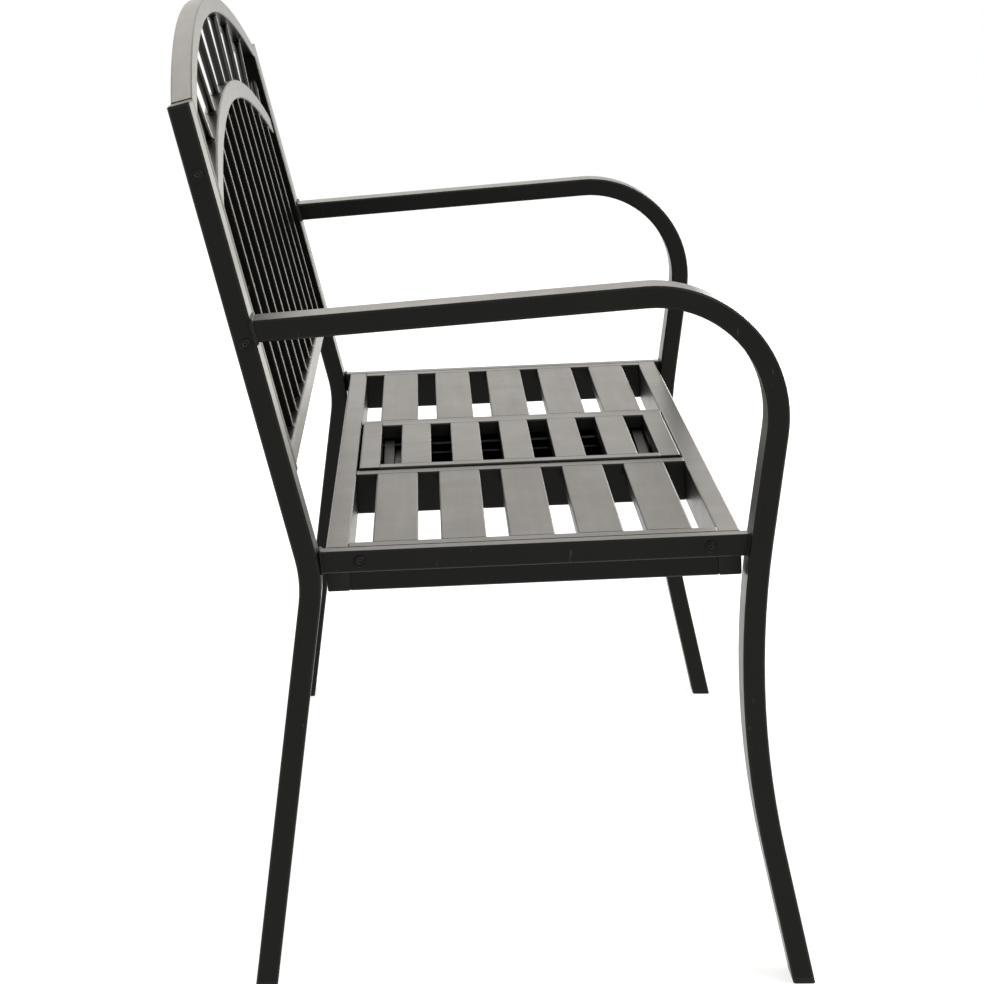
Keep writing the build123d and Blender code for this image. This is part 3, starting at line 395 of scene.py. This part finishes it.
# A bead is a circle carried along that outline in the plane of wide and high. Its radius is size times
# one plus a ripple, a sine of the length run, plus a slow waver, the mean of three sines. An open bead
# shrinks to nothing at its ends by the fourth root of a sine.
def beadSurface(centre, wide, high, half, corner, size, seed, start=0, stop=1):
    flat = outlinePath(half, corner, start, stop)
    closed = (start, stop) == (0, 1)
    wide, high = unit(wide), unit(high)
    out = np.cross(wide, high)
    line = centre + flat[:, :1] * wide + flat[:, 1:] * high
    if closed:
        way = np.roll(line, -1, axis=0) - np.roll(line, 1, axis=0)
    else:
        way = np.gradient(line, axis=0)
    way /= np.linalg.norm(way, axis=1)[:, None]
    side = np.cross(way, out)
    count = len(line)
    share = np.arange(count) / count
    length = np.linalg.norm(np.diff(line, axis=0), axis=1).sum()
    ripples = max(round(length / bead["rippleMm"]), bead["leastRipples"])
    turns = bead["waverTurns"]
    *phases, lastPhase = np.random.default_rng(seed).uniform(0, 2 * math.pi, len(turns) + 1)
    slow = sum(np.sin(2 * math.pi * times * share + phase)
               for times, phase in zip(turns, phases)) / len(turns)
    radius = size * (1 + bead["ripple"] * np.sin(2 * math.pi * ripples * share + lastPhase)
                     + bead["waver"] * slow)
    if not closed:
        fade = np.clip(np.sin(np.linspace(0, math.pi, count)), bead["leastEnd"], 1)
        radius *= fade ** bead["endPower"]
    around = np.arange(bead["sides"]) * 2 * math.pi / bead["sides"]
    ring = side[:, None, :] * np.cos(around)[None, :, None] + out * np.sin(around)[None, :, None]
    points = line[:, None, :] + radius[:, None, None] * ring
    index = np.arange(count * bead["sides"]).reshape(count, bead["sides"])
    following = np.roll(index, -1, axis=0) if closed else index[1:]
    index = index if closed else index[:-1]
    faces = np.stack([index, following, np.roll(following, -1, axis=1),
                      np.roll(index, -1, axis=1)], -1)
    return points.reshape(-1, 3), faces.reshape(-1, 4)


# One smooth mesh out of several surfaces, in metres, that rides on its body
def meshPiece(name, surfaces, body, material):
    points = np.vstack([part for part, _ in surfaces]) / 1000
    starts = np.cumsum([0] + [len(part) for part, _ in surfaces[:-1]])
    faces = np.vstack([part + start for (_, part), start in zip(surfaces, starts)])
    mesh = bpy.data.meshes.new(name)
    mesh.from_pydata(points.tolist(), [], faces.tolist())
    mesh.polygons.foreach_set("use_smooth", np.ones(len(mesh.polygons), bool))
    mesh.materials.append(material)
    mesh.update()
    piece = bpy.data.objects.new(name, mesh)
    scene.collection.objects.link(piece)
    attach(piece, body)
    print("made", name, len(mesh.polygons), "faces")


# Side frames: a bead right round the arm's end on the post, and round both ends of each side rail.
# Places are along y and z, and a lean is the leg's own where the rail meets it.
sideWelds = {"x": 580,
             "armAt": (231.39, 674.29), "armHalf": (25.4, 11.6), "armCorner": 2.8, "armSize": 2.4,
             "rearAt": (168.6, 439.8), "rearLean": 6.0, "frontAt": (-259.3, 456.3),
             "frontLean": -7.0, "railHalf": (10.3, 11.2), "railCorner": 1.8, "railSize": 1.6,
             "armSeed": 11, "railSeed": 23}


def sideFrameWelds(look):
    surfaces = []
    for side in (-1, 1):
        x = side * look["x"]
        surfaces.append(beadSurface(np.array((x, *look["armAt"])), across, backUp, look["armHalf"],
                                    look["armCorner"], look["armSize"], look["armSeed"] + side))
        for end in ("rear", "front"):
            lean = math.radians(look[end + "Lean"])
            upRail = np.array((0, math.sin(lean), math.cos(lean)))
            surfaces.append(beadSurface(np.array((x, *look[end + "At"])), across, upRail,
                                        look["railHalf"], look["railCorner"], look["railSize"],
                                        look["railSeed"] + side))
    meshPiece("side_frame_welds", surfaces, "frame", frameCoat)


# Seat and table: at each slat's end a bead down both sides and below, with the top ground flush, so
# it leaves out the share of the outline that the slat's top takes. The slats share out the depth
# inside their rails: their pitch is that depth and one slat, over one more than their number.
seatWelds = {"midY": -44.3, "inside": 371, "ends": (-547.6, -179, 179, 547.6), "proud": 0,
             "slats": 5, "slatWide": 46, "slatHigh": 15,
             "size": 1.5, "off": 0.2, "corner": 1.8, "bare": 1.5,
             "seed": 40, "slatSeeds": 10, "endSeeds": 1}
tableWelds = {"midY": -44.8, "inside": 320, "ends": (-130, 130), "proud": 2,
              "slats": 5, "slatWide": 35, "slatHigh": 17,
              "size": 1.2, "off": 0.2, "corner": 1.4, "bare": 1.5,
              "seed": 145, "slatSeeds": 1, "endSeeds": 10}


def slatWelds(name, look, body, material):
    surfaces = []
    wide, high = look["slatWide"], look["slatHigh"]
    pitch = (look["inside"] + wide) / (look["slats"] + 1)
    first = look["midY"] - look["inside"] / 2 - wide / 2
    gap = (wide / 2 + look["bare"]) / (2 * wide + 2 * high)
    half = (wide / 2 + look["off"], high / 2 + look["off"])
    for number in range(look["slats"]):
        for end, x in enumerate(look["ends"]):
            middle = seatPoint(x, first + pitch * (number + 1), look["proud"] - high / 2)
            seed = look["seed"] + number * look["slatSeeds"] + end * look["endSeeds"]
            surfaces.append(beadSurface(middle, seatRear, seatUp, half, look["corner"],
                                        look["size"], seed, gap, 1 - gap))
    meshPiece(name, surfaces, body, material)


# Back: a bead round each bar on the bottom rail and below the inner arch, and round each ray on both
# arches. A ring lies in the arch's own slope, which is its place over the radius. A ray's ring is
# stretched along the arch by what its slant makes of a round end.
backWelds = {"barSize": 1.2, "barCorner": 1.4, "raySize": 1.0, "off": 0.2, "straight": 0.1,
             "footSeed": 0, "headSeed": 60, "raySeed": 90}


def panelWelds(look):
    surfaces = []
    innerRadius = arcRadius(back["windowHalf"], back["innerCrown"])
    outerRadius = arcRadius(back["panelHalf"], back["outerCrown"])
    innerMiddle = back["innerRise"] - innerRadius
    outerMiddle = back["outerRise"] - outerRadius
    half = (back["barWide"] / 2 + look["off"], back["barDeep"] / 2 + look["off"])
    soffit = innerRadius - back["innerHigh"]
    for number in range(back["bars"]):
        x = (number - (back["bars"] - 1) / 2) * 2 * back["windowHalf"] / back["bars"]
        height = math.sqrt(soffit ** 2 - x ** 2)
        for rise, slope, seed in (
                (back["railTop"], across, look["footSeed"]),
                (innerMiddle + height, across - backUp * x / height, look["headSeed"])):
            surfaces.append(beadSurface(backPoint(x, rise), slope, backFront, half,
                                        look["barCorner"], look["barSize"], seed + number))
    thick = back["rayRadius"] + look["off"]
    for number in range(back["rays"]):
        foot = (number - (back["rays"] - 1) / 2) * back["rayPitch"]
        crest = innerMiddle + math.sqrt(innerRadius ** 2 - foot ** 2)
        way = unit((foot, crest - back["rayFocus"]))
        for radius, middle in ((innerRadius, innerMiddle),
                               (outerRadius - back["outerHigh"], outerMiddle)):
            drop = np.array((0, back["rayFocus"] - middle))     # from the arc's centre to the focus
            reach = -way @ drop + math.sqrt((way @ drop) ** 2 - drop @ drop + radius ** 2)
            hit = drop + reach * way
            slope = across - backUp * hit[0] / hit[1]
            stretch = radius / abs(way @ hit)
            surfaces.append(beadSurface(backPoint(hit[0], hit[1] + middle), slope, backFront,
                                        (thick * stretch, thick), thick - look["straight"],
                                        look["raySize"], look["raySeed"] + number))
    meshPiece("back_welds", surfaces, "frame", frameCoat)


sideFrameWelds(sideWelds)
slatWelds("seat_welds", seatWelds, "frame", frameCoat)
panelWelds(backWelds)
slatWelds("table_welds", tableWelds, "table", topCoat)
